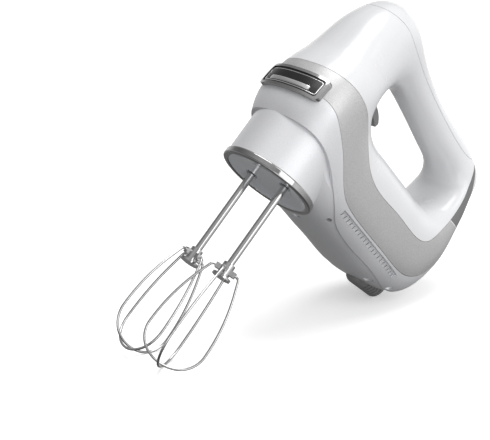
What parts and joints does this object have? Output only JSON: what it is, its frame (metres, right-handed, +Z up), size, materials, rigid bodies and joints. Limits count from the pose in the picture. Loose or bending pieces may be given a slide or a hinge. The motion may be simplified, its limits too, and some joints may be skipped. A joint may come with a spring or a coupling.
{
  "type": "hand mixer",
  "caption": "Electric hand mixer with a raised loop handle, silver side band, chrome neck ring and wire beaters, leaning on the beaters and its heel.",
  "frame": {"origin": "centre of the overall box on the surface the mixer stands on, with the mixer leaning back on its beaters and rear foot", "axes": "+Z up; +X from the beaters towards the heel; -Y is the mixer's left side, seen by someone who holds it"},
  "size_m": [0.3, 0.0761, 0.2139],
  "materials": {
    "laminations": "stacked electrical steel, dark edges",
    "copper": "enamelled copper winding",
    "chrome_trim": "bright chrome plating on plastic",
    "black_inlay": "gloss black inlay, no lettering",
    "steel_wire": "chrome-plated steel",
    "bronze": "sintered bronze",
    "dark_grey": "dark grey moulded plastic, light texture",
    "component": "moulded electronic component",
    "carbon": "carbon brush",
    "board_green": "glass-epoxy circuit board",
    "fan": "moulded fan",
    "steel": "turned steel",
    "gearbox": "glass-filled nylon",
    "white_gloss": "glossy white moulded ABS",
    "pearl_grey": "light silver-grey pearl ABS, semi-gloss",
    "polished_dish": "bright polished dish",
    "silver_band": "fine-flake silver metallic paint on ABS, satin clear coat",
    "nylon": "natural acetal gear"
  },
  "bodies": {
    "housing": {"badge_frame": "chrome_trim", "badge_plate": "black_inlay", "bezel_ring": "chrome_trim", "brush_holders": "bronze", "burst_switch": "component", "carbon_brushes": "carbon", "control_board": "board_green", "control_panel": "dark_grey", "cord_boss": "dark_grey", "ejector_guides": "steel", "ejector_spring": "steel", "field_coils": "copper", "filter_capacitor": "component", "frame_screws": "steel", "gearbox_lower": "gearbox", "gearbox_upper": "gearbox", "handle_cover": "white_gloss", "lever_bracket": "gearbox", "lever_pin": "steel", "lower_housing": "pearl_grey", "motor_frame": "gearbox", "motor_rear_bearing": "bronze", "rear_cover": "white_gloss", "rear_strips": "dark_grey", "slide_switch": "component", "speed_triac": "component", "spindle_bush_lower_left": "bronze", "spindle_bush_lower_right": "bronze", "spindle_bush_upper_left": "bronze", "spindle_bush_upper_right": "bronze", "spindle_plate": "polished_dish", "stator_core": "laminations", "trim_band": "silver_band", "upper_housing": "white_gloss", "vent_louvres": "pearl_grey", "worm_bearing_front": "bronze", "worm_bearing_rear": "bronze"},
    "rotor": {"motor_shaft": "steel", "armature_core": "laminations", "armature_windings": "copper", "commutator": "copper", "cooling_fan": "fan"},
    "spindle_left": {"spindle_left": "steel", "worm_wheel_left": "nylon"},
    "knockout_left": {"knockout_pin_left": "steel"},
    "beater_left": {"beater_shaft_left": "steel_wire", "beater_collar_left": "steel_wire", "beater_loop_wide_left": "steel_wire", "beater_loop_narrow_left": "steel_wire"},
    "spindle_right": {"spindle_right": "steel", "worm_wheel_right": "nylon"},
    "knockout_right": {"knockout_pin_right": "steel"},
    "beater_right": {"beater_shaft_right": "steel_wire", "beater_collar_right": "steel_wire", "beater_loop_wide_right": "steel_wire", "beater_loop_narrow_right": "steel_wire"},
    "ejector": {"ejector_plate": "gearbox"},
    "trigger": {"eject_trigger": "dark_grey"},
    "speed_slider": {"speed_slider": "chrome_trim"},
    "burst_button": {"burst_button": "dark_grey"}
  },
  "joints": [
    {"name": "motor_spin", "type": "hinge", "parent": "housing", "child": "rotor", "pos_m": [-0.01778, 0, 0.1316], "axis": [0.705, 0, -0.7092], "continuous": true},
    {"name": "spindle_spin_left", "type": "hinge", "parent": "housing", "child": "spindle_left", "pos_m": [-0.01778, -0.016, 0.1316], "axis": [0.7092, 0, 0.705], "continuous": true},
    {"name": "knockout_slide_left", "type": "slide", "parent": "spindle_left", "child": "knockout_left", "axis": [-0.7092, 0, -0.705], "range_m": [0, 0.0055], "stiffness_N_per_m": 15, "springref_m": -0.02},
    {"name": "beater_pull_left", "type": "slide", "parent": "knockout_left", "child": "beater_left", "axis": [-0.7092, 0, -0.705], "range_m": [0, 0.045]},
    {"name": "spindle_spin_right", "type": "hinge", "parent": "housing", "child": "spindle_right", "pos_m": [-0.01778, 0.016, 0.1316], "axis": [0.7092, 0, 0.705], "continuous": true},
    {"name": "knockout_slide_right", "type": "slide", "parent": "spindle_right", "child": "knockout_right", "axis": [-0.7092, 0, -0.705], "range_m": [0, 0.0055], "stiffness_N_per_m": 15, "springref_m": -0.02},
    {"name": "beater_pull_right", "type": "slide", "parent": "knockout_right", "child": "beater_right", "axis": [-0.7092, 0, -0.705], "range_m": [0, 0.045]},
    {"name": "trigger_squeeze", "type": "hinge", "parent": "housing", "child": "trigger", "pos_m": [0.02756, 0, 0.16258], "axis": [0, -1, 0], "range_deg": [0, 16], "stiffness_Nm_per_rad": 0.6, "springref_deg": -14.32},
    {"name": "ejector_slide", "type": "slide", "parent": "housing", "child": "ejector", "axis": [-0.7092, 0, -0.705], "range_m": [0, 0.0055], "stiffness_N_per_m": 15, "springref_m": -0.02, "deforming": ["ejector_spring"]},
    {"name": "speed_slide", "type": "slide", "parent": "housing", "child": "speed_slider", "axis": [0.4403, 0, -0.8979], "range_m": [0, 0.0115]},
    {"name": "burst_press", "type": "slide", "parent": "housing", "child": "burst_button", "axis": [-0.8979, 0, -0.4403], "range_m": [0, 0.0022], "stiffness_N_per_m": 500, "springref_m": -0.001}
  ],
  "couplings": [
    {"joint": "spindle_spin_left", "follows": "motor_spin", "ratio": 0.035714},
    {"joint": "knockout_slide_left", "follows": "trigger_squeeze", "m_per_rad": 0.019695},
    {"joint": "spindle_spin_right", "follows": "motor_spin", "ratio": -0.035714},
    {"joint": "knockout_slide_right", "follows": "trigger_squeeze", "m_per_rad": 0.019695},
    {"joint": "ejector_slide", "follows": "trigger_squeeze", "m_per_rad": 0.019695}
  ]
}
